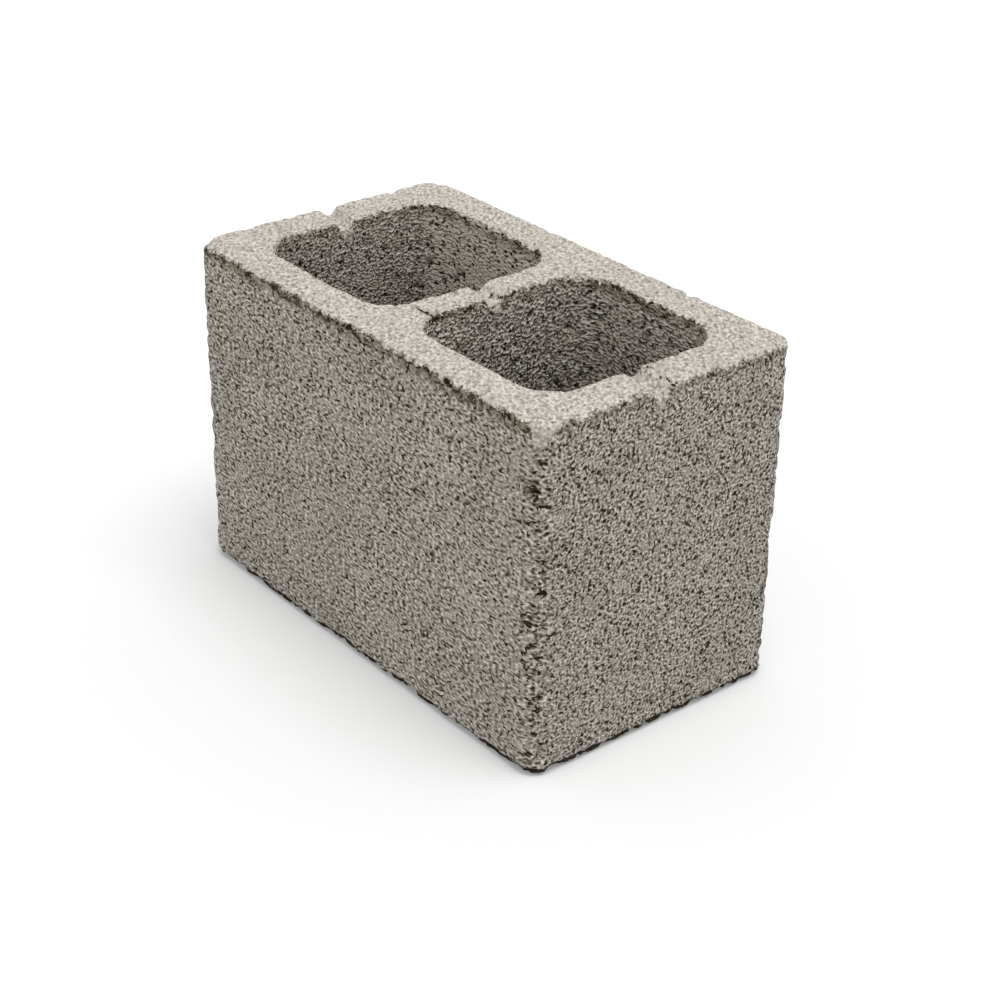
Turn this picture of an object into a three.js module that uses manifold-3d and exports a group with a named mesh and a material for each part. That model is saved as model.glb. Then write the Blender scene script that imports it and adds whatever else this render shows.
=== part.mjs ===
// Two-cell hollow concrete block, as it leaves the block machine.
//
// One moulded piece of dry-cast concrete: two face shells joined by two end webs and a centre web,
// round two cells that run through from bed to bed. Its ends are plain.
// The cores that form the cells taper, so that they can be drawn out upwards: the cells are widest
// at the top bed, and the shells and webs thicken towards the bottom bed. The bar that carries the
// cores lies across the top of the mould, and leaves one shallow groove over all three webs.
//
// Millimetres. +X runs along the block, +Y through the wall, +Z up.
// The origin is the centre of the bottom bed.

import * as THREE from "three";
import { mergeVertices } from "three/addons/utils/BufferGeometryUtils.js";
import Module from "manifold-3d";

const wasm = await Module();
wasm.setup();

// ---- Driving dimensions ----

const blockLength = 335;
const blockWidth = 190; // the thickness of the wall that it builds
const blockHeight = 220;

const faceShellThickness = 29; // at the top bed, where it is thinnest
const endWebThickness = 31; // at the top bed
const centreWebThickness = 25; // at the top bed
const centreWebOffset = 3; // the centre web stands towards +X, so that cell is the shorter one
const coreDraft = 3; // what each cell wall gains from the top bed to the bottom bed

const outerCornerRadius = 14; // upright corners, seen from above
const cellCornerRadius = 24; // upright corners of a cell, seen from above
const outerArrisRadius = 2.5; // edges round both beds
const cellArrisRadius = 2; // edges round the mouths of the cells

const grooveWidth = 15; // core-bar groove, across its rims
const grooveOffset = -3.5; // the groove's middle lies towards -Y
const grooveDepth = 5.5;
const grooveFloorWidth = 4;
const grooveFloorOffset = 2.5; // from the groove's middle towards +Y: its -Y flank slopes more gently
const grooveRimSoftening = 2.5; // how far each rim and each foot of the groove is rounded along Y

const cornerSteps = 8; // facets in each rounded upright corner
const arrisSteps = 3; // facets in each rounded edge
const overcut = 5; // how far a cutter runs past the face that it cuts

// ---- What follows from them ----

const cellWidth = blockWidth - 2 * faceShellThickness;
const cells = [-1, 1].map((side) => {
  const webFaceX = centreWebOffset + (side * centreWebThickness) / 2;
  const endFaceX = side * (blockLength / 2 - endWebThickness);
  return { centreX: (webFaceX + endFaceX) / 2, length: Math.abs(endFaceX - webFaceX) };
});

// ---- Outlines and lofts ----

// A level ring of points: a rectangle with rounded corners, counterclockwise seen from above.
function roundedRectangleRing({ centreX = 0, length, width, radius, z }) {
  const ring = [];
  const cornerX = length / 2 - radius;
  const cornerY = width / 2 - radius;
  const corners = [[1, 1], [-1, 1], [-1, -1], [1, -1]];
  corners.forEach(([sideX, sideY], quarter) => {
    for (let step = 0; step <= cornerSteps; step++) {
      const angle = ((quarter + step / cornerSteps) * Math.PI) / 2;
      const x = centreX + sideX * cornerX + radius * Math.cos(angle);
      const y = sideY * cornerY + radius * Math.sin(angle);
      ring.push(new THREE.Vector3(x, y, z));
    }
  });
  return ring;
}

// The closed surface through a stack of rings, from the lowest to the highest, capped at both ends.
function loft(rings) {
  const points = rings.flat();
  const count = rings[0].length;
  const faces = [];
  for (let level = 0; level < rings.length - 1; level++) {
    for (let i = 0; i < count; i++) {
      const next = (i + 1) % count;
      const [a, b] = [level * count + i, level * count + next];
      const [c, d] = [b + count, a + count];
      faces.push(a, b, c, a, c, d);
    }
  }
  const cap = THREE.ShapeUtils.triangulateShape(rings[0], []);
  const top = (rings.length - 1) * count;
  for (const [a, b, c] of cap) {
    faces.push(c, b, a);
    faces.push(top + a, top + b, top + c);
  }
  return new THREE.BufferGeometry().setFromPoints(points).setIndex(faces);
}

// The steps of a quarter round of one radius, from flush with a bed to flush with a wall:
// how far the edge still stands back from the wall, and how far it has risen from the bed.
function quarterRound(radius) {
  const steps = [];
  for (let step = 0; step <= arrisSteps; step++) {
    const angle = ((step / arrisSteps) * Math.PI) / 2;
    steps.push({ back: radius * (1 - Math.sin(angle)), rise: radius * (1 - Math.cos(angle)) });
  }
  return steps;
}

// ---- Solids ----

// A closed geometry as a solid for joining and cutting.
function solidOf(geometry) {
  const bare = geometry.clone();
  bare.deleteAttribute("normal");
  bare.deleteAttribute("uv");
  const merged = mergeVertices(bare, 1e-4);
  return new wasm.Manifold(
    new wasm.Mesh({
      numProp: 3,
      vertProperties: new Float32Array(merged.attributes.position.array),
      triVerts: new Uint32Array(merged.index.array),
    }),
  );
}

// A solid as a geometry with flat facets.
function geometryOf(solid) {
  const mesh = solid.getMesh();
  const geometry = new THREE.BufferGeometry();
  geometry.setAttribute("position", new THREE.BufferAttribute(mesh.vertProperties, mesh.numProp));
  geometry.setIndex(new THREE.BufferAttribute(mesh.triVerts, 1));
  const faceted = geometry.toNonIndexed();
  faceted.computeVertexNormals();
  return faceted;
}

// The block's outside: upright walls, with rounded corners and rounded edges at both beds.
function outerSolid() {
  const ringAt = (back, z) =>
    roundedRectangleRing({
      length: blockLength - 2 * back,
      width: blockWidth - 2 * back,
      radius: outerCornerRadius - back,
      z,
    });
  const edge = quarterRound(outerArrisRadius);
  const lower = edge.map(({ back, rise }) => ringAt(back, rise));
  const upper = edge.map(({ back, rise }) => ringAt(back, blockHeight - rise)).reverse();
  return solidOf(loft([...lower, ...upper]));
}

// One core: it narrows from the top bed to the bottom bed, and opens out round both mouths.
function coreSolid({ centreX, length }) {
  const draftAt = (z) => coreDraft * (1 - z / blockHeight);
  const ringAt = (flare, z) =>
    roundedRectangleRing({
      centreX,
      length: length - 2 * draftAt(z) + 2 * flare,
      width: cellWidth - 2 * draftAt(z) + 2 * flare,
      radius: cellCornerRadius + flare,
      z,
    });
  const edge = quarterRound(cellArrisRadius);
  const lower = edge.map(({ back, rise }) => ringAt(back, rise));
  const upper = edge.map(({ back, rise }) => ringAt(back, blockHeight - rise)).reverse();
  const below = ringAt(cellArrisRadius, -overcut);
  const above = ringAt(cellArrisRadius, blockHeight + overcut);
  return solidOf(loft([below, ...lower, ...upper, above]));
}

// The core bar's groove: one soft, lopsided trough, swept along the whole block.
function grooveSolid() {
  const rimLeft = grooveOffset - grooveWidth / 2;
  const rimRight = grooveOffset + grooveWidth / 2;
  const floorLeft = grooveOffset + grooveFloorOffset - grooveFloorWidth / 2;
  const floorRight = grooveOffset + grooveFloorOffset + grooveFloorWidth / 2;
  const soft = grooveRimSoftening;
  const profile = new THREE.Shape();
  profile.moveTo(rimRight + soft, 0);
  profile.lineTo(rimRight + soft, overcut);
  profile.lineTo(rimLeft - soft, overcut);
  profile.lineTo(rimLeft - soft, 0);
  profile.bezierCurveTo(rimLeft, 0, floorLeft - soft, -grooveDepth, floorLeft, -grooveDepth);
  profile.lineTo(floorRight, -grooveDepth);
  profile.bezierCurveTo(floorRight + soft, -grooveDepth, rimRight, 0, rimRight + soft, 0);
  const runLength = blockLength + 2 * overcut;
  const groove = new THREE.ExtrudeGeometry(profile, {
    depth: runLength,
    bevelEnabled: false,
    curveSegments: arrisSteps * 3,
  });
  // The profile is drawn in X and Y and swept along Z: turn it to lie in Y and Z, swept along X.
  const turned = new THREE.Matrix4().makeBasis(
    new THREE.Vector3(0, 1, 0),
    new THREE.Vector3(0, 0, 1),
    new THREE.Vector3(1, 0, 0),
  );
  groove.applyMatrix4(turned).translate(-runLength / 2, 0, blockHeight);
  return solidOf(groove);
}

// ---- The block ----

const concrete = new THREE.MeshStandardMaterial({
  name: "dry_cast_concrete",
  color: 0x9c968c,
  roughness: 0.95,
  metalness: 0,
});

const blockSolid = cells.reduce(
  (solid, cell) => solid.subtract(coreSolid(cell)),
  outerSolid().subtract(grooveSolid()),
);

const concreteBlock = new THREE.Mesh(geometryOf(blockSolid), concrete);
concreteBlock.name = "concrete_block";

const block = new THREE.Group();
block.name = "hollow_concrete_block";
block.add(concreteBlock);

export default block;
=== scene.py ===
# %% [markdown]
# # A hollow concrete block
# The block is one moulded piece of dry-cast concrete: two face shells, two end webs and a centre
# web round two tapered cells. The CAD model already holds its size, its section and the groove of
# the core bar. What is missing is what makes it concrete: open pores where the dry mix didn't
# close against the mould, grains that stand out, crumbled arrises, and a pale skin on the bed
# that was struck smooth. This lesson builds that surface round the CAD solid, then its material.

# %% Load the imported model
import math
import bpy
import numpy as np
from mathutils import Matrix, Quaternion, Vector


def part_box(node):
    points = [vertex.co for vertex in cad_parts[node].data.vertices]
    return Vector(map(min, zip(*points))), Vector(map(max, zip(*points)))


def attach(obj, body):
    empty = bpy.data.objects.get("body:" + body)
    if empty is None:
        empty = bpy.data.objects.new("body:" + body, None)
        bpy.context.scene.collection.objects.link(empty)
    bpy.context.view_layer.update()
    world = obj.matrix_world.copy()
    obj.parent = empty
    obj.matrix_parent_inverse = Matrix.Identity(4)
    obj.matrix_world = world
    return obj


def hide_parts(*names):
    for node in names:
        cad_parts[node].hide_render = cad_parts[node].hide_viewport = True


MM = 0.001  # one millimetre, in metres

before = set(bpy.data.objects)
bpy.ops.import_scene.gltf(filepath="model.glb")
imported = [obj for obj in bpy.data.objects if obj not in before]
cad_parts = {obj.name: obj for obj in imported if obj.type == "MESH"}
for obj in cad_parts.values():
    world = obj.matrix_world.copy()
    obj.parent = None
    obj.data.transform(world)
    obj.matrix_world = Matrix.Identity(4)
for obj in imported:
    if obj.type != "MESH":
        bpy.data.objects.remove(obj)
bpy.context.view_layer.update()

# %% [markdown]
# ## Camera
# A block looks like a block when its upright edges stay nearly upright and its length runs away
# from the eye. So the camera stands well back, looks over one corner, and uses a long lens.

# %% Camera
CAMERA_PLACE = Vector((889.9, -720.1, 695.6)) * MM
CAMERA_AIM = Vector((18.6, 1.9, 85.1)) * MM  # what lies in the middle of the view
CAMERA_ROLL = math.radians(1.09)  # it is held a little askew
CAMERA_LENS = 75.17  # mm, on the standard 36 mm sensor

camera_data = bpy.data.cameras.new("camera")
camera_data.lens = CAMERA_LENS
camera = bpy.data.objects.new("camera", camera_data)
bpy.context.scene.collection.objects.link(camera)
camera.location = CAMERA_PLACE
camera.rotation_mode = "QUATERNION"
gaze = (CAMERA_AIM - CAMERA_PLACE).to_track_quat("-Z", "Y")
camera.rotation_quaternion = gaze @ Quaternion((0, 0, 1), CAMERA_ROLL)
bpy.context.scene.camera = camera
print("camera stands off by, mm:", round((CAMERA_AIM - CAMERA_PLACE).length / MM))

# %% [markdown]
# ## One skin of rings
# The block has two holes right through it, so no single grid can wrap it. But half of it, cut
# down the middle of the centre web, is a tube: its skin runs up the outside, over the top bed,
# down the cell, and back under the bottom bed to where it started. That is a stack of rings, all
# with the same number of points. Every ring is an outline in plan at some height, so the whole
# skin is worked out from one function for an outline. The halves differ only in their lengths,
# because the centre web stands off the middle. Each is drawn as if it were the one at +X, and
# the other is then turned inside out to -X.

# %% Sizes, in millimetres
block_low, block_high = (np.array(corner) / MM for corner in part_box("concrete_block"))
LENGTH, WIDTH, HEIGHT = block_high - block_low

FACE_SHELL = 29.0  # these three at the top bed
END_WEB = 31.0
CENTRE_WEB = 25.0
WEB_MIDDLE = 3.0  # the centre web stands towards +X
CORE_DRAFT = 3.0  # what each cell wall gains from the top bed to the bottom bed
OUTER_CORNER = 14.0
CELL_CORNER = 24.0
OUTER_ARRIS = 2.5
CELL_ARRIS = 2.0

CELL_WIDTH = WIDTH - 2 * FACE_SHELL

SPACING = 1.15  # of the points on the outer faces, close enough to draw a 4 mm pit
SIDE_COUNTS = (round(LENGTH / 2 / SPACING), round(WIDTH / SPACING))
OUTER_ROWS, CELL_ROWS = 192, 150  # rings on the walls, between their arrises
TOP_ROWS, BOTTOM_ROWS = 25, 14  # rings across the beds
ARRIS_STEPS = 4  # rings round each arris
TINY = 1e-9  # keeps a radius of 0 out of a division
print("block, mm:", LENGTH, WIDTH, HEIGHT)


# %% Outlines
def side_points(count, half_along, half_across, radii):
    """One side of a rounded rectangle, from the middle of one corner to the middle of the next.
    The points are evenly spaced over half a corner, the straight and half a corner. A point that
    has turned by an angle a on a corner of radius r is r sin(a) past the end of the straight, and
    r (1 - cos(a)) in from the side."""
    reach = [half_along - r + math.pi / 4 * r for r in radii]
    run = -reach[0] + (reach[0] + reach[1]) * np.arange(count) / count
    radius = np.where(run < 0, *radii)
    straight = half_along - radius
    turned = np.clip(np.abs(run) - straight, 0, None) / np.maximum(radius, TINY)
    along = np.sign(run) * (np.minimum(np.abs(run), straight) + radius * np.sin(turned))
    return along, half_across - radius * (1 - np.cos(turned))


def outline(centre, half_length, half_width, outer, inner, z):
    """A rounded rectangle at height z, counterclockwise from above. outer is the radius of the
    corners away from the middle of the block, and inner of those next to it."""
    long_count, short_count = SIDE_COUNTS
    a, b = side_points(long_count, half_length, half_width, (inner, outer))
    c, d = side_points(short_count, half_width, half_length, (outer, outer))
    e, f = side_points(long_count, half_length, half_width, (outer, inner))
    g, h = side_points(short_count, half_width, half_length, (inner, inner))
    x = np.concatenate([centre + a, centre + d, centre - e, centre - h])
    y = np.concatenate([-b, c, f, -g])
    return np.stack([x, y, np.full_like(x, z)], 1)


def outer_ring(middle, back, z):
    """Half of the block's outline, set back from its faces, closed down the web's middle."""
    half = (LENGTH / 2 - back - middle) / 2
    return outline(middle + half, half, WIDTH / 2 - back, OUTER_CORNER - back, 0.0, z)


def cell_span(middle):
    """The centre and half the length of the cell between the centre web and the end web."""
    web_face, end_face = middle + CENTRE_WEB / 2, LENGTH / 2 - END_WEB
    return (web_face + end_face) / 2, (end_face - web_face) / 2


def cell_ring(middle, back, z):
    """The cell's outline, set back into the concrete. The core is narrower further down: each of
    its walls comes in by the draft times the depth as a share of the height."""
    narrower = CORE_DRAFT * (1 - z / HEIGHT) - back
    centre, half_length = cell_span(middle)
    radius = CELL_CORNER + back
    return outline(centre, half_length - narrower, CELL_WIDTH / 2 - narrower, radius, radius, z)


def quarter_round(radius):
    """How far back and how far from the bed each step of an arris is, from the bed to the wall:
    r (1 - sin(a)) and r (1 - cos(a)) for a from 0 to a right angle."""
    angle = np.linspace(0, math.pi / 2, ARRIS_STEPS + 1)
    return list(zip(radius * (1 - np.sin(angle)), radius * (1 - np.cos(angle))))


def between(low, high, rows):
    """Evenly spaced steps from low to high, without the two ends."""
    return np.linspace(low, high, rows + 1)[1:-1]


# %% Sew the rings into one closed skin
def sew(rows, columns, closed):
    """Quads between neighbouring rings. closed joins the last column to the first."""
    row = np.arange(rows - 1)[:, None]
    column = np.arange(columns if closed else columns - 1)[None, :]
    after = (column + 1) % columns
    corners = [row * columns + column, row * columns + after]
    corners += [(row + 1) * columns + after, (row + 1) * columns + column]
    return np.stack(corners, -1).reshape(-1, 4)


def half_skin(middle):
    """Points and faces of the half at +X of this mid-plane."""
    outer_arris, cell_arris = quarter_round(OUTER_ARRIS), quarter_round(CELL_ARRIS)
    outer_heights = between(OUTER_ARRIS, HEIGHT - OUTER_ARRIS, OUTER_ROWS)
    cell_heights = between(HEIGHT - CELL_ARRIS, CELL_ARRIS, CELL_ROWS)
    outside = [(back, rise) for back, rise in outer_arris]
    outside += [(0, z) for z in outer_heights]
    outside += [(back, HEIGHT - rise) for back, rise in reversed(outer_arris)]
    inside = [(back, HEIGHT - rise) for back, rise in cell_arris]
    inside += [(0, z) for z in cell_heights]
    inside += [(back, rise) for back, rise in reversed(cell_arris)]
    outside = [outer_ring(middle, back, z) for back, z in outside]
    inside = [cell_ring(middle, back, z) for back, z in inside]
    top = [outside[-1] + (inside[0] - outside[-1]) * share for share in between(0, 1, TOP_ROWS)]
    bottom = [
        inside[-1] + (outside[0] - inside[-1]) * share for share in between(0, 1, BOTTOM_ROWS)]
    through = np.array([outside[-1], *top, *inside, *bottom, outside[0]])
    columns = 2 * SIDE_COUNTS[0] + SIDE_COUNTS[1] + 1  # the rest of the ring is the mid-plane
    wall = np.array(outside)[:, :columns]
    faces = [sew(len(through), through.shape[1], True)]
    faces.append(sew(len(wall), columns, False) + through.shape[0] * through.shape[1])
    return np.concatenate([through.reshape(-1, 3), wall.reshape(-1, 3)]), np.concatenate(faces)


right_points, right_faces = half_skin(WEB_MIDDLE)
left_points, left_faces = half_skin(-WEB_MIDDLE)
points = np.concatenate([right_points, left_points * (-1, 1, 1)])
faces = np.concatenate([right_faces, left_faces[:, ::-1] + len(right_points)])

# Points that meet on the mid-plane, or where a bed meets a wall, become one.
WELD_DECIMALS = 4  # of a millimetre, well under the spacing of the points
welded = np.unique(np.round(points, WELD_DECIMALS), axis=0, return_index=True, return_inverse=True)
points, faces = points[welded[1]], welded[2].reshape(-1)[faces]
print("skin:", len(points), "points; a closed skin with two holes has 2 more faces:", len(faces))


# %% [markdown]
# ## Noise that comes out the same each time
# Relief needs randomness, but a part has to look the same each time it is built. So nothing is
# drawn from a stream of random numbers. A random number is worked out from the place itself, by
# mixing the whole-number coordinates of the cell that it lies in.

# %% Seeded patterns
AXIS_FACTORS = (0x8DA6B343, 0xD8163841, 0xCB1AB31F)  # large odd numbers with mixed bits
SEED_FACTOR = 0x9E3779B9
SCRAMBLES = ((16, 0x7FEB352D), (15, 0x846CA68B))  # a shift and a factor each
LAST_SHIFT = 16


def cell_random(cells, seed):
    """A fixed random number from 0 to 1 for each whole-number point: its coordinates times large
    odd numbers, mixed by shifts and products, and scaled."""
    bits = np.uint32(seed * SEED_FACTOR % 2**32)
    for axis, factor in enumerate(AXIS_FACTORS):
        bits = bits ^ cells[..., axis].astype(np.int64).astype(np.uint32) * np.uint32(factor)
    for shift, factor in SCRAMBLES:
        bits = (bits ^ (bits >> np.uint32(shift))) * np.uint32(factor)
    return (bits ^ (bits >> np.uint32(LAST_SHIFT))).astype(np.float64) / 2**32


def soft_noise(places, size, seed):
    """Smooth noise from 0 to 1: the random numbers at the corners of a cubic grid of this size,
    blended along each axis by 3 t squared - 2 t cubed."""
    low = np.floor(places / size)
    t = places / size - low
    t = t * t * (3 - 2 * t)
    total = np.zeros(len(places))
    for corner in np.ndindex(2, 2, 2):
        total += np.prod(np.where(corner, t, 1 - t), axis=1) * cell_random(low + corner, seed)
    return total


def rough_noise(places, size, seed, octaves=3):
    """soft_noise at this size, plus half as much at half the size, and so on."""
    shares = 0.5 ** np.arange(octaves)
    layers = [soft_noise(places, size * share, seed + i) for i, share in enumerate(shares)]
    return np.tensordot(shares, layers, 1) / shares.sum()


def smooth_step(low, high, value):
    """0 up to low and 1 from high on, with 3 t squared - 2 t cubed between them."""
    t = np.clip((value - low) / (high - low), 0, 1)
    return t * t * (3 - 2 * t)


# %% [markdown]
# ## Which way is in
# Wear and pores only take material away, so every point moves inwards. On a flat face that is
# straight in. On an arris it has to be between its two faces, or the relief would tear there. So
# the way out is a blend of the directions of all faces that are near, weighted by nearness.

# %% Distance from a rounded outline
def rounded_box(x, y, half_x, half_y, radius):
    """Distance from a rounded rectangle in plan, positive outside it, and the direction away."""
    qx, qy = np.abs(x) - (half_x - radius), np.abs(y) - (half_y - radius)
    corner = np.hypot(np.maximum(qx, 0), np.maximum(qy, 0))
    distance = corner + np.minimum(np.maximum(qx, qy), 0) - radius
    in_corner = (qx > 0) & (qy > 0)
    far = np.maximum(corner, TINY)
    away_x = np.where(in_corner, qx / far, qx >= qy) * np.sign(x)
    away_y = np.where(in_corner, qy / far, qx < qy) * np.sign(y)
    return distance, np.stack([away_x, away_y, np.zeros_like(x)], 1)


# %% Depths below the faces
x, y, z = points.T.copy()
rest = points.copy()  # where each point lies on the clean cast shape
side = np.where(x < WEB_MIDDLE, -1.0, 1.0)
cell_middle, half_length = cell_span(side * WEB_MIDDLE)
narrower = CORE_DRAFT * (1 - z / HEIGHT)
outer_gap, outer_way = rounded_box(x, y, LENGTH / 2, WIDTH / 2, OUTER_CORNER)
cell_halves = half_length - narrower, CELL_WIDTH / 2 - narrower
cell_gap, cell_way = rounded_box(x - side * cell_middle, y, *cell_halves, CELL_CORNER)
up = np.zeros_like(points) + (0, 0, 1)
below = np.abs([outer_gap, cell_gap, HEIGHT - z, z])
below_outer, below_cell, below_top, below_bottom = below  # depth below each kind of face

REACH = 9.0  # how far from an arris the faces start to blend
ways = np.einsum("fp,fpk->pk", np.clip(REACH - below, 0, None), [outer_way, -cell_way, up, -up])
ways /= np.linalg.norm(ways, axis=1, keepdims=True)

to_wall = np.minimum(below_outer, below_cell)
past_arris = np.where(to_wall > HEIGHT - z, to_wall, z - HEIGHT)  # along the skin, onto the bed
wall_way = np.where((below_outer < below_cell)[:, None], outer_way, -cell_way)
TURNED = (0.1, 0.7)  # how far a wall looks to +X or -Y where it starts to count, and does fully
facing = smooth_step(*TURNED, wall_way[:, 0] - wall_way[:, 1])  # 1 where a wall faces +X or -Y

# %% Nearest arris
# On an upright arris the two nearest faces are an end and a side, the first two of these. How far
# a point is from it is measured from the line where both are equally near.
to_end, to_side = LENGTH / 2 - np.abs(x), WIDTH / 2 - np.abs(y)
faces_near = np.stack([to_end, to_side, below_cell, below_top, below_bottom])
order = np.argsort(faces_near, axis=0)
first, second = np.take_along_axis(faces_near, order[:2], 0)
upright = order[0] + order[1] == 1
ARRIS_FULL = 0.2  # the share of REACH within which a point counts as on the arris
arris = np.clip(1 + ARRIS_FULL - np.maximum(second, 0) / REACH, 0, 1)  # 1 on an arris, 0 away
along_arris = np.where(upright, z, x + y)
ACROSS = 0.7  # what one millimetre of difference in depth is, across the diagonal
from_arris = np.where(upright, np.abs(to_end - to_side) * ACROSS, np.hypot(first, second))
print("share of the skin within reach of an arris:", round((second < REACH).mean(), 2))

# %% [markdown]
# ## Groove
# The bar that held the cores leaves a shallow groove across all three webs. It was pulled while
# the mix was green, so on each web the groove runs a little aslant and off its line. The points
# of the webs' beds sink into it, and those of their walls below the bed crowd down with them, a
# little less with each row.

# %% Groove
WEB_X = np.array((END_WEB / 2 - LENGTH / 2, WEB_MIDDLE, LENGTH / 2 - END_WEB / 2))
GROOVE_Y = np.array((3.2, 1.0, -7.5))  # of its floor, in the middle of each web
GROOVE_DEPTH = np.array((5.2, 5.0, 4.2))
GROOVE_SLANT = -0.22  # along Y for each millimetre along X
GROOVE_RIMS = (-9.5, 8.0)  # from the floor's middle, along Y
GROOVE_FLOOR = (-1.0, 1.0)
GROOVE_FADE = 30.0  # how far down the walls the points make room

web = np.abs(x[:, None] - WEB_X).argmin(1)
from_floor = y - GROOVE_Y[web] - GROOVE_SLANT * (x - WEB_X[web])
profile = smooth_step(GROOVE_RIMS[0], GROOVE_FLOOR[0], from_floor)
profile *= 1 - smooth_step(GROOVE_FLOOR[1], GROOVE_RIMS[1], from_floor)
profile *= GROOVE_DEPTH[web]
points[:, 2] -= profile * np.clip((z - HEIGHT + GROOVE_FADE) / GROOVE_FADE, 0, 1)
print("groove, mm deep:", round(profile.max(), 1))

# %% [markdown]
# ## Relief of the faces
# The faces are calm: lumps a few tenths of a millimetre high, long waves, and here and there a
# void where the mix didn't close. All are noise at the size of the real thing. The mix was pressed
# in level courses, so its noise is stretched along them. The places are stirred by a second noise,
# so that lumps and voids get ragged outlines and don't line up with the axes.

# %% Lumps, voids and waves
MIX_STRETCH = np.array((1.35, 1.05, 1.0))
SWIRL_SIZE = 3.5  # mm, the cell of the noise, and so for each size below
LUMP_SIZE, VOID_SIZE, CRUMB_SIZE, WAVE_SIZE = 6.0, 3.4, 4.0, 60.0
STIR, STIR_MARKS = 2.0, 2.5  # mm that a full swirl moves a place
VOID_FROM, CRUMB_FROM = (0.74, 0.92), (0.5, 0.7)  # only where the noise is this high

mix = points / MIX_STRETCH
swirl = np.stack([soft_noise(mix, SWIRL_SIZE, seed=40 + axis) for axis in range(3)], 1) - 0.5
swirled = mix + STIR * swirl
ragged = rest + STIR_MARKS * swirl  # for marks at set places
lump = rough_noise(swirled, LUMP_SIZE, seed=10, octaves=2)
void = smooth_step(*VOID_FROM, soft_noise(swirled, VOID_SIZE, seed=30))
wave = rough_noise(points, WAVE_SIZE, seed=20)
crumb = smooth_step(*CRUMB_FROM, soft_noise(swirled, CRUMB_SIZE, seed=70))

SMOOTHER_BED, ROUGHER_CELL = 0.85, 0.6  # struck with a blade, and drawn past by the core
is_top = smooth_step(-1.5, 1.5, past_arris)  # mm along the skin
is_cell = smooth_step(2, 0, below_cell) * (1 - is_top)
rough = (1 - SMOOTHER_BED * is_top) * (1 + ROUGHER_CELL * is_cell)
print("share of the skin with a void:", round((void > 0.5).mean(), 3))

# %% [markdown]
# ## Wear of the arrises
# A green block crumbles at its arrises. Along each of them bites are strung, one in each pitch of
# its length, so that they are spread out but never in step. They are widest on the upright arrises
# and round the bottom bed. The swirl that stirs the lumps makes their rims ragged too.

# %% Bites out of an arris
def bites(along, away, line, pitch, small, large, seed):
    """Round bites strung along an arris, one in each pitch of its length. The depth at a distance
    d from a bite's centre is its radius times 1 - (d / radius) squared, so it is below 0 outside
    it. Each line has its own draw of places and radii, and small radii are the more common."""
    margin = 0.15  # how near to the end of its stretch a centre may lie, as a share of the pitch
    deepest = np.zeros(len(along))
    for step in (-1, 0, 1):
        stretch = np.floor(along / pitch) + step
        key = np.stack([stretch, line, np.zeros_like(line)], 1)
        centre = (stretch + margin + (1 - 2 * margin) * cell_random(key, seed)) * pitch
        radius = small + (large - small) * cell_random(key, seed + 1) ** 2
        share = 1 - ((along - centre) ** 2 + away**2) / radius**2
        deepest = np.maximum(deepest, radius * share)
    return deepest


at_top = z > HEIGHT / 2
clean_side = facing < 0.5
ladder = upright & (x > 0) & (y < 0)  # the upright arris that shows the courses
BITES = (  # where, by the first row that fits; pitch, smallest and largest radius in mm
    (ladder, 20.0, 1.0, 2.0),
    (upright, 11.0, 2.0, 5.0),
    (at_top & (facing > 0.5), 8.0, 1.2, 4.0),
    (at_top, 12.0, 0.8, 2.6),
    (below_cell < 12, 12.0, 0.5, 1.5),  # the bottom mouths of the cells
    (~at_top, 17.0, 2.0, 5.0),  # round the bottom bed
)
RAG_ALONG, RAG_AWAY = 4.0, 3.0  # mm that a full swirl shifts a rim

kinds, *bite_sizes = zip(*BITES)
pitch, small, large = (np.select(kinds, values) for values in bite_sizes)
# Each arris has its own number, from its two faces and the quarter of the block that it is in.
line = order[:2].min(0) + 5.0 * order[:2].max(0) + 25 * (x > 0) + 50 * (y > 0)
along, away = along_arris + RAG_ALONG * swirl[:, 0], from_arris + RAG_AWAY * swirl[:, 1]
bite = bites(along, away, line, pitch, small, large, seed=80)
print("deepest bite, mm:", round(bite.max(), 1))

# %% [markdown]
# Round the top bed the arrises that face +X and -Y are torn, and the others are clean, as the
# press left them. All are dented between their grains, which stand out as knobs. Creases run in
# from the edge, along the lines where a smooth noise crosses its middle.

# %% Torn arrises, dents and creases
# How many millimetres off none is left, and within how many it is full.
TEAR_DOWN, TEAR_ACROSS = (10, 2), (4, 0.5)  # down the wall, and on the bed
TEAR_BESIDE, DENT_BESIDE, CREASE_BESIDE = (11, 2), (9, 1.5), (7, 1)  # beside any arris
TEAR_SIZE, UPRIGHT_TEAR_SIZE, DENT_SIZE, CREASE_SIZE = 22.0, 14.0, 8.0, 13.0  # mm, of the noise
TEAR_BELOW = 15  # mm below the top bed, where the upright arrises are all torn
CREASE_HALF = 0.12  # of the noise, either side of its middle

torn_top = facing * smooth_step(*TEAR_DOWN, -past_arris) * smooth_step(*TEAR_ACROSS, past_arris)
torn_top *= np.clip(0.3 + 1.4 * soft_noise(points, TEAR_SIZE, seed=95), 0, 1)  # in patches
torn_top *= np.where(wall_way[:, 0] > 0.7, 0.4, 1.0)  # the end less than the side
torn_upright = upright * smooth_step(*TEAR_BESIDE, from_arris)
torn_upright *= smooth_step(HEIGHT, HEIGHT - TEAR_BELOW, z)
torn_upright *= smooth_step(0.35, 0.65, soft_noise(points, UPRIGHT_TEAR_SIZE, seed=96))

dents = (1 - is_cell) * smooth_step(*DENT_BESIDE, from_arris)
dents *= smooth_step(0.5, 0.85, soft_noise(points, DENT_SIZE, seed=97))
dent_kinds = [upright, at_top & clean_side, at_top, ~at_top]
dents *= np.select(dent_kinds, [2.9, 1.8, 0.6, 1.2])  # mm

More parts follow.
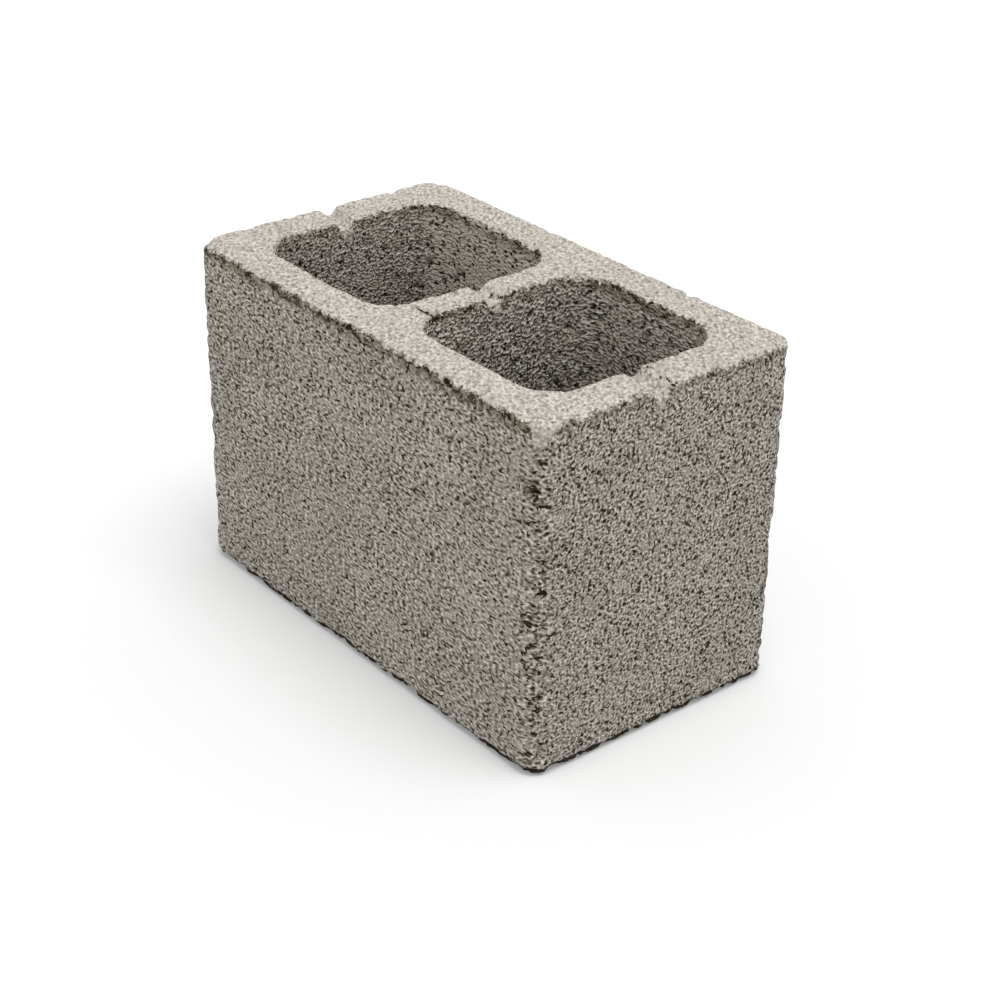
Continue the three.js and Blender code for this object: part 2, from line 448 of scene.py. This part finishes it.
crease = smooth_step(CREASE_HALF, 0, np.abs(soft_noise(points, CREASE_SIZE, seed=98) - 0.5))
crease *= smooth_step(*CREASE_BESIDE, from_arris)
crease *= (1 - is_cell) * (1 - ladder) * np.where(at_top & ~upright, 0.2, 1.0)
print("share of the skin that is torn:", round((torn_top > 0.5).mean(), 3))

# %% [markdown]
# ## Marks in set places
# On the upright arris between the +X and the -Y face the courses of the mix show as a ladder of
# flat gaps. A crack starts at the mouth of the cell at -X and runs across the centre web to a chip
# in its other edge. A few grains have dropped out of the groove. The corner of the bed at -X and
# -Y is rubbed round. All but the crack are parts of ellipsoids, each kind with its own radii.

# %% Ladder, crack, chip and pits
def pits(places, middles, radii):
    """Hollows with given middles and the same radii. At an offset (a, b, c), in radii, one is
    1 - (a squared + b squared + c squared) deep: 1 at its middle and 0 at the rim."""
    offsets = [(places - middle) / radii for middle in middles]
    return np.clip(1 - np.min([(offset**2).sum(1) for offset in offsets], axis=0), 0, None)


RUNGS = (198, 181, 172, 162, 139, 120, 99, 78, 69, 53, 44, 28)  # heights of the flat gaps
RUNG_INSET = 4.1  # the rounded corner of 14 mm lies this far in from both its walls
RUNG_SHIFT = 2.5  # each gap lies a little off the arris
RUNG_RADII, TORN_RADII = (5.2, 5.2, 1.6), (7.5, 7.5, 5.0)  # of a gap, and of the tear round it
CHIP, CHIP_RADII = (17.0, -39.5, HEIGHT - 1), (6.0, 8.5, 6.0)
GROOVE_PITS = ((141.0, 4.5), (149.5, 3.2), (156.5, 1.8), (163.0, 1.5),  # on the web at +X
               (3.5, 4.0), (14.5, 4.0), (16.0, -8.0))  # on the centre web
PIT_RADII = (4.0, 2.4, 4.0)
SHOULDER, SHOULDER_RADIUS = (2 - LENGTH / 2, 2 - WIDTH / 2, HEIGHT), 12.0

corner = np.array((LENGTH / 2 - RUNG_INSET, RUNG_INSET - WIDTH / 2))
rung_places = [(*corner + RUNG_SHIFT * math.sin(height), height) for height in RUNGS]
rungs = pits(ragged, rung_places, RUNG_RADII)
near_rungs = pits(ragged, rung_places, TORN_RADII)

chip = pits(ragged, [CHIP], CHIP_RADII)
groove_pits = pits(ragged, [(*pit, HEIGHT) for pit in GROOVE_PITS], PIT_RADII)
shoulder = pits(rest, [SHOULDER], SHOULDER_RADIUS)
print("flat gaps:", len(RUNGS), "pits in the groove:", len(GROOVE_PITS))

# %% Crack
# Its depth falls off with the distance from a line across the bed. It gets wider towards +X.
CRACK_FROM, CRACK_RUN, CRACK_Y = -1.0, 19.0, -47.5  # along X, and at which Y
CRACK_SLANT, CRACK_WANDER = 1.5, 1.2  # mm along Y, over its run and with a full swirl
CRACK_HALF, CRACK_GAIN, CRACK_LIP, CRACK_FLOOR = 0.6, 1.1, 0.9, -0.5  # mm, of half its width
crack_along = np.clip((x - CRACK_FROM) / CRACK_RUN, 0, 1)
crack_gap = np.abs(y - CRACK_Y - CRACK_SLANT * crack_along + CRACK_WANDER * swirl[:, 1])
crack_open = CRACK_HALF + CRACK_GAIN * crack_along
crack = smooth_step(crack_open + CRACK_LIP, crack_open + CRACK_FLOOR, crack_gap)
crack *= (x > -3) * (x < 20) * (z > HEIGHT - 4)  # only through the web's bed

# %% [markdown]
# Round the foot the walls stand back by a millimetre, up to a ragged line some 5 mm above the
# floor.
# That band is also painted with shade, the dark line on which the block seems to stand.

# %% Foot
FOOT_UNDER_END, FOOT_UNDER_SIDE = 5.3, 5.0  # mm above the floor
FOOT_RAG, FOOT_LEDGE = 3.0, 1.2  # mm that a full swirl shifts it, and from none to full
foot_height = np.where(wall_way[:, 0] > 0.5, FOOT_UNDER_END, FOOT_UNDER_SIDE)
foot_height = foot_height + FOOT_RAG * swirl[:, 2]
foot = smooth_step(foot_height, foot_height - FOOT_LEDGE, z) * smooth_step(6, 2, below_outer)
print("mean height of the foot, mm:", round(foot_height.mean(), 1))

# %% [markdown]
# Each form so far is a share from 0 to 1, but the bites and dents, which are depths. Now each
# gets its depth in millimetres, and every point goes in by their sum.

# %% Press the relief in
SKIN_DEPTH, WAVE_DEPTH, LUMP_DEPTH, VOID_DEPTH, CRUMB_DEPTH = 0.1, 0.3, 0.42, 1.2, 0.3  # mm
LADDER_TORN, UPRIGHT_TORN, RUNG_TORN = 0.15, 0.45, 0.58  # against 1 round the top bed
FORMS = ((0.7, bite), (1.0, dents), (1.7, crease), (1.0, foot), (1.5, shoulder), (2.6, rungs),
         (2.2, crack), (2.5, chip), (1.8, groove_pits))

torn_upright *= np.where(ladder, LADDER_TORN, UPRIGHT_TORN)
torn = np.max([torn_top, torn_upright, RUNG_TORN * near_rungs**0.5], axis=0)
depth = SKIN_DEPTH + WAVE_DEPTH * wave + rough * (LUMP_DEPTH * lump + VOID_DEPTH * void)
depth += (CRUMB_DEPTH * arris**1.5 + torn) * crumb
depth += sum(deepest * form for deepest, form in FORMS)
points -= ways * depth[:, None]
print("deepest:", round(depth.max(), 1), "mm; mean:", round(depth.mean(), 2), "mm")

# %% [markdown]
# The struck bed has a pale skin of fines, which stops at the torn arrises. It runs a little way
# down over the clean ones, and further below the groove and over the corner at +X and -Y. In the
# cell at -X, the wall at +Y has a thin pale film. The material takes both from here.

# %% Edge of the pale skin
TONGUE_REACH, TONGUE_MIDDLE, TONGUE_HALF = 9.0, 1.0, 7.0  # mm, below the groove
tongue = np.clip(1 - ((from_floor - TONGUE_MIDDLE) / TONGUE_HALF) ** 2, 0, 1)
over_edge = TONGUE_REACH * tongue * smooth_step(0.5, 1, wall_way[:, 0])
OVER_CORNER, OVER_CLEAN = 13.0, 3.0  # mm, over the corner and over clean arrises
from_corner = np.hypot(x - LENGTH / 2, y + WIDTH / 2)
over_edge += OVER_CORNER * smooth_step(13, 6, from_corner) + OVER_CLEAN * (1 - facing)
film = smooth_step(0.5, 0.9, -wall_way[:, 1]) * is_cell * (x < 0)

# %% [markdown]
# ## A lighter mesh
# This skin has some 850,000 triangles, more than a part should carry. Decimate collapses the
# edges that matter least, so the flats get larger triangles and the pores keep their rims. It
# keeps the mesh closed, and carries the attributes that the material reads.

# %% Mesh from arrays
def build_mesh(name, points, faces, attributes):
    """A smooth mesh of quads from arrays in millimetres, with one number a point for each
    attribute."""
    mesh = bpy.data.meshes.new(name)
    mesh.vertices.add(len(points))
    mesh.vertices.foreach_set("co", (points * MM).astype(np.float32).ravel())
    mesh.loops.add(faces.size)
    mesh.loops.foreach_set("vertex_index", faces.astype(np.int32).ravel())
    mesh.polygons.add(len(faces))
    starts = np.arange(0, faces.size, faces.shape[1], dtype=np.int32)
    mesh.polygons.foreach_set("loop_start", starts)
    mesh.update(calc_edges=True)
    for key, values in attributes.items():
        layer = mesh.attributes.new(key, "FLOAT", "POINT")
        layer.data.foreach_set("value", values.astype(np.float32))
    return mesh


# %% What the material reads
# Each form gets painted shade as far as it is deep: 0 is open to the light, and about 1 is black.
bite_shade = np.where(at_top & clean_side, 0.5, 0.8) * ~ladder
hollow_shade = np.max([
    0.4 * rough * void,
    bite_shade * smooth_step(0.8, 3.2, bite),
    0.8 * smooth_step(0.05, 0.5, rungs),
    0.7 * crease * (z < 9),
    0.9 * crack,
    0.5 * smooth_step(0.3, 0.7, chip),
    0.6 * smooth_step(0.1, 0.6, groove_pits),
    # painted shade along the foot: the dark line at the floor
    1.2 * foot,
], axis=0)
SKIN_FADE = 20.0  # mm from no skin to all skin, with 0.5 at its edge
skin_reach = past_arris + over_edge
tear_seen = smooth_step(6, 2, over_edge)  # where the skin runs down, it covers the tear
dense = build_mesh("dense_skin", points, faces, {
    "hollow_shade": hollow_shade,
    "bed": np.clip(0.5 + skin_reach / SKIN_FADE, 0, 1),
    "torn": np.clip(torn * tear_seen + 1.5 * chip, 0, 1),
    "cell": is_cell,
    "film": film,
    "rest_x": rest[:, 0], "rest_y": rest[:, 1], "rest_z": rest[:, 2],
})
print("dense skin:", 2 * len(faces), "triangles")

# %% Thin it
block = bpy.data.objects.new("cast_block", dense)
bpy.context.scene.collection.objects.link(block)
TRIANGLES = 198_000
thin = block.modifiers.new("thin", "DECIMATE")
thin.ratio = TRIANGLES / (2 * len(faces))
thin.use_collapse_triangulate = True
thinned = block.evaluated_get(bpy.context.evaluated_depsgraph_get())
block_mesh = bpy.data.meshes.new_from_object(thinned)
block.modifiers.clear()
block.data = block_mesh
bpy.data.meshes.remove(dense)
block_mesh.name = "cast_block"
block_mesh.shade_smooth()


# %% Keep it in its box
def read_all(items, name, width=1):
    """One property of all items of a mesh, as an array."""
    values = np.empty(len(items) * width)
    items.foreach_get(name, values)
    return values.reshape(-1, width)


# A collapse may leave a point a hair outside the cast shape, so the box has the last word.
vertices = read_all(block_mesh.vertices, "co", 3)
boxed = np.clip(vertices, block_low * MM, block_high * MM)
block_mesh.vertices.foreach_set("co", boxed.ravel())
block_mesh.calc_loop_triangles()
print("cast block:", len(block_mesh.loop_triangles), "triangles")

# %% [markdown]
# ## A flat layout
# When the patterns are baked to an image, each face needs its place on it. The clean cast shape
# is made of flat walls and beds with rounded edges, so each triangle goes to the wall that it
# faces there, and is laid flat along that wall's own two axes. The sheets lie in four rows.

# %% Flat layout
SHEET_GAP = 7.0  # mm between two sheets
FLAT_AXES = ((1, 2), (0, 2), (0, 1))  # what a wall that faces X, Y or Z is laid out along
# A sheet's kind is 6 for each room (outside, the cell at -X, the cell at +X), plus 2 for each
# axis, plus 1 where it faces the positive way.
SHEET_ROWS = ((2, 3, 12), (0, 1, 6, 7, 13), (8, 9, 14, 15), (4, 5))

spots = [read_all(block_mesh.attributes[f"rest_{axis}"].data, "value")[:, 0] for axis in "xyz"]
spots = np.stack(spots, 1)
triangles = read_all(block_mesh.loops, "vertex_index").astype(int).reshape(-1, 3)
a, b, c = (spots[triangles[:, k]] for k in range(3))
normal = np.cross(b - a, c - a)
axis = np.abs(normal).argmax(1)
centre = (a + b + c) / 3
wall_depth = block_high[:2] - np.abs(centre[:, :2])
in_cell = (wall_depth > (END_WEB / 2, FACE_SHELL / 2)).all(1)
room = np.where(axis < 2, in_cell * (1 + (centre[:, 0] > WEB_MIDDLE)), 0)
kind = 6 * room + 2 * axis + (np.take_along_axis(normal, axis[:, None], 1)[:, 0] > 0)

sheets = np.zeros((len(triangles), 3, 2))
widest, low_edge = 0.0, SHEET_GAP
for row in SHEET_ROWS:
    left_edge, tall = SHEET_GAP, 0.0
    for sheet in row:
        flat = spots[triangles[kind == sheet]][..., list(FLAT_AXES[sheet % 6 // 2])]
        first_corner, last_corner = flat.min((0, 1)), flat.max((0, 1))
        sheets[kind == sheet] = flat - first_corner + (left_edge, low_edge)
        left_edge += last_corner[0] - first_corner[0] + SHEET_GAP
        tall = max(tall, last_corner[1] - first_corner[1])
    widest, low_edge = max(widest, left_edge), low_edge + tall + SHEET_GAP
print("layout, mm:", round(widest), "x", round(low_edge), "in", len(np.unique(kind)), "sheets")
layout = block_mesh.uv_layers.new(name="OFBake")
layout.data.foreach_set("uv", (sheets / max(widest, low_edge)).ravel())
for name in ("rest_x", "rest_y", "rest_z"):
    block_mesh.attributes.remove(block_mesh.attributes[name])

# %% Take the CAD node's place
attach(block, "root")
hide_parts("concrete_block")


# %% [markdown]
# ## Materials
# Everything is drawn in millimetres, from the object's own coordinates, so that no pattern
# stretches where the block turns a corner.

# %% Helpers for materials
def linear(hex_colour):
    """An sRGB hex colour as the linear one that shaders take."""
    parts = [int(hex_colour[i : i + 2], 16) / 255 for i in (1, 3, 5)]
    parts = [p / 12.92 if p <= 0.04045 else ((p + 0.055) / 1.055) ** 2.4 for p in parts]
    return (*parts, 1.0)


def add(tree, kind, inputs=None, **settings):
    """Adds a node. inputs gives each socket, by name or number, a value, or a node or socket
    that feeds it. Of a node, the first output in use is taken."""
    node = tree.nodes.new(kind)
    for key, value in settings.items():
        setattr(node, key, value)
    for key, value in (inputs or {}).items():
        if isinstance(key, str):
            key = [s.name if s.enabled else None for s in node.inputs].index(key)
        if isinstance(value, bpy.types.Node):
            value = next(socket for socket in value.outputs if socket.enabled)
        if isinstance(value, bpy.types.NodeSocket):
            tree.links.new(value, node.inputs[key])
        else:
            node.inputs[key].default_value = value
    return node


# %% [markdown]
# ### Dry-cast concrete
# Cement, sand and grit with just enough water to stand when the mould comes off. It is matt and
# open: grey paste, pale and dark grains of 2 to 5 mm, and voids, which are painted nearly black as
# shade, because little light comes back out of them. The relief carries the forms, and the
# material the grains that are too fine for it, as noise in millimetres.

# %% Concrete: places and what the mesh says of them
concrete = bpy.data.materials.new("dry_cast_concrete")
concrete.use_nodes = True
tree = concrete.node_tree
shader = tree.nodes["Principled BSDF"]

place = add(tree, "ShaderNodeTexCoord").outputs["Object"]
in_mm = add(tree, "ShaderNodeVectorMath", {0: place, "Scale": 1 / MM}, operation="SCALE")
hollow_shade_part, bed_part, torn_part, cell_part, film_part = (
    add(tree, "ShaderNodeAttribute", attribute_name=name).outputs["Fac"]
    for name in ("hollow_shade", "bed", "torn", "cell", "film"))

# %% [markdown]
# The bed was struck smooth with a blade, which drew the fines up into a pale skin. Noise added to
# the distance from its edge tears that edge. The mix was pressed in level courses, so its pattern
# is wider than it is high on the walls. On the bed the blade dragged it aslant.

# %% Struck skin, and the way the mix lies
TEAR_GRAIN = 5.0  # mm, the cell of the noise, and so for each noise below
tears = add(tree, "ShaderNodeTexNoise", {
    "Vector": in_mm, "Scale": 1 / TEAR_GRAIN, "Detail": 3.0, "Roughness": 0.65})
torn_bed = add(tree, "ShaderNodeMath", {0: tears, 1: 1.3, 2: bed_part}, operation="MULTIPLY_ADD")
skin = add(tree, "ShaderNodeMapRange", {"Value": torn_bed, "From Min": 1.17, "From Max": 1.21},
           interpolation_type="SMOOTHSTEP")

WALL_STRETCH = (1.64, 1.05, 1.0)
BED_STRETCH, BED_DRAG = (1.7, 1.1, 1.0), math.radians(-39)
in_wall = add(tree, "ShaderNodeVectorMath", {
    0: in_mm, 1: [1 / stretch for stretch in WALL_STRETCH]}, operation="MULTIPLY")
in_bed = add(tree, "ShaderNodeMapping", {
    "Vector": in_mm, "Rotation": (0, 0, BED_DRAG), "Scale": BED_STRETCH}, vector_type="TEXTURE")
in_mix = add(tree, "ShaderNodeMix", {"Factor": skin, "A": in_wall, "B": in_bed},
             data_type="VECTOR").outputs[1]
print("the blade dragged the bed's pattern by, degrees:", round(math.degrees(BED_DRAG)))

# %% [markdown]
# The paste between the grains lies in ripples some 3 mm apart, strong in some patches and faint in
# others, stronger in the cells, and fainter under the film. Wide clouds of a slightly different
# grey lie over it, from how the mix dried.

# %% Paste
RIPPLE, PATCH, CLOUD = 1.7, 12.0, 40.0  # mm
IN_CELL, UNDER_FILM = 0.4, -0.5  # what these add to the strength of the ripples
ripples = add(tree, "ShaderNodeTexNoise", {"Vector": in_mix, "Scale": 1 / RIPPLE, "Detail": 0.0})
patches = add(tree, "ShaderNodeTexNoise", {"Vector": in_mix, "Scale": 1 / PATCH, "Detail": 1.0})
patch_gain = add(tree, "ShaderNodeMapRange", {
    "Value": patches, "From Min": 0.35, "From Max": 0.65, "To Min": 0.78, "To Max": 1.0})
cell_gain = add(tree, "ShaderNodeMath", {0: cell_part, 1: IN_CELL, 2: patch_gain},
                operation="MULTIPLY_ADD")
gain = add(tree, "ShaderNodeMath", {0: film_part, 1: UNDER_FILM, 2: cell_gain},
           operation="MULTIPLY_ADD")
ripple_off = add(tree, "ShaderNodeMath", {0: ripples, 1: 0.5}, operation="SUBTRACT")
ripple_level = add(tree, "ShaderNodeMath", {0: ripple_off, 1: gain, 2: 0.5},
                   operation="MULTIPLY_ADD")

# Painted shade between two ripples, the paste's own grey, and a painted highlight on a crest.
STOPS = ((0.24, "#5c4f3c"), (0.35, "#958b7c"), (0.46, "#b6afa4"),
         (0.54, "#c8c1b6"), (0.63, "#e1dbcf"), (0.74, "#fffaf0"))
paste_shading = add(tree, "ShaderNodeValToRGB", {"Fac": ripple_level})
ramp = paste_shading.color_ramp
ramp.elements[0].position, ramp.elements[-1].position = STOPS[0][0], STOPS[-1][0]
for position, _ in STOPS[1:-1]:
    ramp.elements.new(position)
for element, (_, colour) in zip(ramp.elements, STOPS):
    element.color = linear(colour)

clouds = add(tree, "ShaderNodeTexNoise", {"Vector": in_mm, "Scale": 1 / CLOUD, "Detail": 2.0})
cloud_tone = add(tree, "ShaderNodeMapRange", {
    "Value": clouds, "From Min": 0.3, "From Max": 0.7, "To Min": 0.905, "To Max": 1.045})
toned = add(tree, "ShaderNodeMix", {"Factor": 1.0, "A": paste_shading.outputs[0], "B": cloud_tone},
            data_type="RGBA", blend_type="MULTIPLY")
print("ripples about", 2 * RIPPLE, "mm apart, in", len(STOPS), "tones")

# %% [markdown]
# Between the grains are curled gaps. They are thin bands where a smooth noise crosses its middle,
# broken up by another noise. In about two places out of five a grain has dropped out whole, and
# left a pinhole. Both follow places that are stirred by a third noise, so that they curl.

# %% Gaps and pinholes
SWIRL, STIRRED, CURL, BREAK, GRAIN_APART = 3.0, 1.5, 3.0, 2.2, 4.6  # mm
DROPPED_OUT = 0.38  # the share of grains that have
HOLE_RIM = (0.21, 0.30)  # of the distance between grains, from a hole's middle
swirl_noise = add(tree, "ShaderNodeTexNoise", {
    "Vector": in_mix, "Scale": 1 / SWIRL, "Detail": 0.0})
stirred = add(tree, "ShaderNodeVectorMath", {
    0: swirl_noise.outputs["Color"], 1: [STIRRED] * 3, 2: in_mix}, operation="MULTIPLY_ADD")
curls = add(tree, "ShaderNodeTexNoise", {"Vector": stirred, "Scale": 1 / CURL, "Detail": 0.0})
curl_off = add(tree, "ShaderNodeMath", {0: curls, 1: 0.5}, operation="SUBTRACT")
curl_away = add(tree, "ShaderNodeMath", {0: curl_off}, operation="ABSOLUTE")
curl_line = add(tree, "ShaderNodeMapRange", {
    "Value": curl_away, "From Min": 0.055, "From Max": 0.085, "To Min": 1.0, "To Max": 0.0,
}, interpolation_type="SMOOTHSTEP")
breaks = add(tree, "ShaderNodeTexNoise", {"Vector": in_mix, "Scale": 1 / BREAK, "Detail": 0.0})
curl_share = add(tree, "ShaderNodeMapRange", {"Value": breaks, "From Min": 0.58, "From Max": 0.61},
                 interpolation_type="SMOOTHSTEP")
curl = add(tree, "ShaderNodeMath", {0: curl_line, 1: curl_share}, operation="MULTIPLY")

holes = add(tree, "ShaderNodeTexVoronoi", {"Vector": stirred, "Scale": 1 / GRAIN_APART})
hole_round = add(tree, "ShaderNodeMapRange", {
    "Value": holes, "From Min": HOLE_RIM[0], "From Max": HOLE_RIM[1], "To Min": 1.0, "To Max": 0.0,
}, interpolation_type="SMOOTHSTEP")
hole_there = add(tree, "ShaderNodeMath", {0: holes.outputs["Color"], 1: DROPPED_OUT},
                 operation="LESS_THAN")
dropped = add(tree, "ShaderNodeMath", {0: hole_round, 1: hole_there}, operation="MULTIPLY")
pinhole = add(tree, "ShaderNodeMath", {0: dropped, 1: curl}, operation="MAXIMUM")
print("pinholes up to", round(2 * HOLE_RIM[1] * GRAIN_APART, 1), "mm wide")

# %% [markdown]
# A thin film of laitance, the milk of the cement, lies on one wall of a cell, and a trace of it on
# the others. The struck skin takes half its colour from the fines. Dust and damp turn the torn
# arrises brown, and their crumbs get painted shade, as dark as in the gaps.

# %% Film, skin and dust
FILM, SKIN, DUST = linear("#dbd3c8"), linear("#d5cec5"), linear("#7d6e56")
FILM_COVER, FILM_TRACE, SKIN_COVER, DUST_COVER = 0.7, 0.33, 0.5, 0.75
film_trace = add(tree, "ShaderNodeMath", {0: cell_part, 1: FILM_TRACE}, operation="MULTIPLY")
film_share = add(tree, "ShaderNodeMath", {0: film_part, 1: FILM_COVER, 2: film_trace},
                 operation="MULTIPLY_ADD")
filmed = add(tree, "ShaderNodeMix", {"Factor": film_share, "A": toned, "B": FILM},
             data_type="RGBA")
skin_colour = add(tree, "ShaderNodeMix", {"Factor": SKIN_COVER, "A": filmed, "B": SKIN},
                  data_type="RGBA")
skinned = add(tree, "ShaderNodeMix", {"Factor": skin, "A": filmed, "B": skin_colour},
              data_type="RGBA")

CRUMB = 3.0  # mm
bare = add(tree, "ShaderNodeMath", {0: 1.0, 1: skin}, operation="SUBTRACT")
bare_tear = add(tree, "ShaderNodeMath", {0: torn_part, 1: bare}, operation="MULTIPLY")
crumb_noise = add(tree, "ShaderNodeTexNoise", {
    "Vector": stirred, "Scale": 1 / CRUMB, "Detail": 1.0})
crumb_more = add(tree, "ShaderNodeMath", {0: torn_part, 1: 0.03, 2: crumb_noise},
                 operation="MULTIPLY_ADD")
crumbs = add(tree, "ShaderNodeMapRange", {"Value": crumb_more, "From Min": 0.57, "From Max": 0.61},
             interpolation_type="SMOOTHSTEP")
crumb_part = add(tree, "ShaderNodeMath", {0: crumbs, 1: bare_tear}, operation="MULTIPLY")
brown_part = add(tree, "ShaderNodeMath", {0: bare_tear, 1: DUST_COVER}, operation="MULTIPLY")
browned = add(tree, "ShaderNodeMix", {"Factor": brown_part, "A": skinned, "B": DUST},
              data_type="RGBA")
print("nodes for the colour so far:", len(tree.nodes))

# %% [markdown]
# Last comes the painted shade: in the gaps, fainter on the bed, in the crumbs, and in the hollows
# of the relief with a ragged rim. The same gaps and the ripples go into the bump, which is nearly
# flat on the bed. The concrete is matt, and its open texture traps what a smooth face would
# reflect, so its specular level is low.

# %% Darks, gloss and bump
# painted shade: the near-black brown of the gaps, pinholes, crumbs and hollows
SHADE_COLOUR = linear("#2a1804")
RAG = 1.8  # mm
SHADE_COVER, BED_CALM = 0.95, -0.6  # how dark the painted shade in a gap is, and what the skin takes off it
BUMP_HEIGHT = 3.6  # mm, higher than real, so that ripples finer than the mesh catch the light
GAP_DEPTH = -0.35  # of that height
bed_level = add(tree, "ShaderNodeMath", {0: skin, 1: BED_CALM, 2: 1.0}, operation="MULTIPLY_ADD")
gaps = add(tree, "ShaderNodeMath", {0: pinhole, 1: bed_level}, operation="MULTIPLY")
gaps_or_crumbs = add(tree, "ShaderNodeMath", {0: gaps, 1: crumb_part}, operation="MAXIMUM")
rag_noise = add(tree, "ShaderNodeTexNoise", {"Vector": stirred, "Scale": 1 / RAG, "Detail": 1.0})
ragged_shade = add(tree, "ShaderNodeMath", {0: rag_noise, 1: 1.6, 2: hollow_shade_part},
                    operation="MULTIPLY_ADD")
shaded_hollows = add(tree, "ShaderNodeMapRange", {
    "Value": ragged_shade, "From Min": 1.25, "From Max": 1.42}, interpolation_type="SMOOTHSTEP")
shade_mask = add(tree, "ShaderNodeMath", {0: gaps_or_crumbs, 1: shaded_hollows}, operation="MAXIMUM")
shade_share = add(tree, "ShaderNodeMath", {0: shade_mask, 1: SHADE_COVER}, operation="MULTIPLY")
final_colour = add(tree, "ShaderNodeMix", {"Factor": shade_share, "A": browned, "B": SHADE_COLOUR},
                   data_type="RGBA")
tree.links.new(final_colour.outputs[2], shader.inputs["Base Color"])
shader.inputs["Roughness"].default_value = 0.95
shader.inputs["Specular IOR Level"].default_value = 0.2

holed = add(tree, "ShaderNodeMath", {0: gaps_or_crumbs, 1: GAP_DEPTH, 2: ripple_level},
            operation="MULTIPLY_ADD")
level = add(tree, "ShaderNodeMath", {0: holed, 1: bed_level}, operation="MULTIPLY")
bump = add(tree, "ShaderNodeBump", {
    "Height": level, "Strength": 1.0, "Distance": BUMP_HEIGHT * MM})
tree.links.new(bump.outputs[0], shader.inputs["Normal"])
block_mesh.materials.clear()
block_mesh.materials.append(concrete)
print("concrete:", len(tree.nodes), "nodes")

# %% [markdown]
# ## Floor and light
# A pale floor under an even sky, with one large soft light from above and a little to the right.
# The floor that the camera sees is partly its own white, so that the shadow fades out early, and
# the floor that lights the block is a plain light grey.

# %% Floor
FLOOR_HALF = 6.0  # metres
OWN_WHITE, GLOW = 0.09, 1.3  # how much of what the camera sees is the floor's own light
FLOOR_SIGNS = ((-1, -1), (1, -1), (1, 1), (-1, 1))  # of its corners, counterclockwise
floor_corners = [(a * FLOOR_HALF, b * FLOOR_HALF, 0) for a, b in FLOOR_SIGNS]
floor_mesh = bpy.data.meshes.new("floor")
floor_mesh.from_pydata(floor_corners, [], [(0, 1, 2, 3)])
floor = bpy.data.objects.new("floor", floor_mesh)
bpy.context.scene.collection.objects.link(floor)

paper = bpy.data.materials.new("matt_paper")
paper.use_nodes = True
tree = paper.node_tree
tree.nodes.clear()
seen_by_camera = add(tree, "ShaderNodeLightPath").outputs["Is Camera Ray"]
white = add(tree, "ShaderNodeBsdfDiffuse", {"Color": linear("#feffff")})
glow = add(tree, "ShaderNodeEmission", {"Color": linear("#ffffff"), "Strength": GLOW})
seen = add(tree, "ShaderNodeMixShader", {0: OWN_WHITE, 1: white, 2: glow})
grey = add(tree, "ShaderNodeBsdfDiffuse", {"Color": linear("#c8c8c8")})
either = add(tree, "ShaderNodeMixShader", {0: seen_by_camera, 1: grey, 2: seen})
add(tree, "ShaderNodeOutputMaterial", {"Surface": either})
floor_mesh.materials.append(paper)
print("floor, metres across:", 2 * FLOOR_HALF)

# %% Sky and lamp
SKY_STRENGTH, BACKDROP_STRENGTH = 0.7, 1.0
LAMP_STRENGTH, LAMP_SPREAD = 1.1, math.radians(35)  # wide, for soft shadows
LAMP_FROM = Vector((0.24, 0.06, 1.0))

world = bpy.data.worlds.new("pale_room")
bpy.context.scene.world = world
world.use_nodes = True
tree = world.node_tree
tree.nodes.clear()
seen_by_camera = add(tree, "ShaderNodeLightPath").outputs["Is Camera Ray"]
sky = add(tree, "ShaderNodeBackground", {"Color": (1, 1, 1, 1), "Strength": SKY_STRENGTH})
backdrop = add(tree, "ShaderNodeBackground", {
    "Color": (1, 1, 1, 1), "Strength": BACKDROP_STRENGTH})
either = add(tree, "ShaderNodeMixShader", {0: seen_by_camera, 1: sky, 2: backdrop})
add(tree, "ShaderNodeOutputWorld", {"Surface": either})

lamp_data = bpy.data.lights.new("soft_lamp", "SUN")
lamp_data.energy = LAMP_STRENGTH
lamp_data.angle = LAMP_SPREAD
lamp = bpy.data.objects.new("soft_lamp", lamp_data)
bpy.context.scene.collection.objects.link(lamp)
lamp.rotation_mode = "QUATERNION"
lamp.rotation_quaternion = LAMP_FROM.to_track_quat("Z", "Y")
bpy.context.scene.view_settings.view_transform = "Standard"
print("lamp's spread, degrees:", round(math.degrees(lamp_data.angle)))
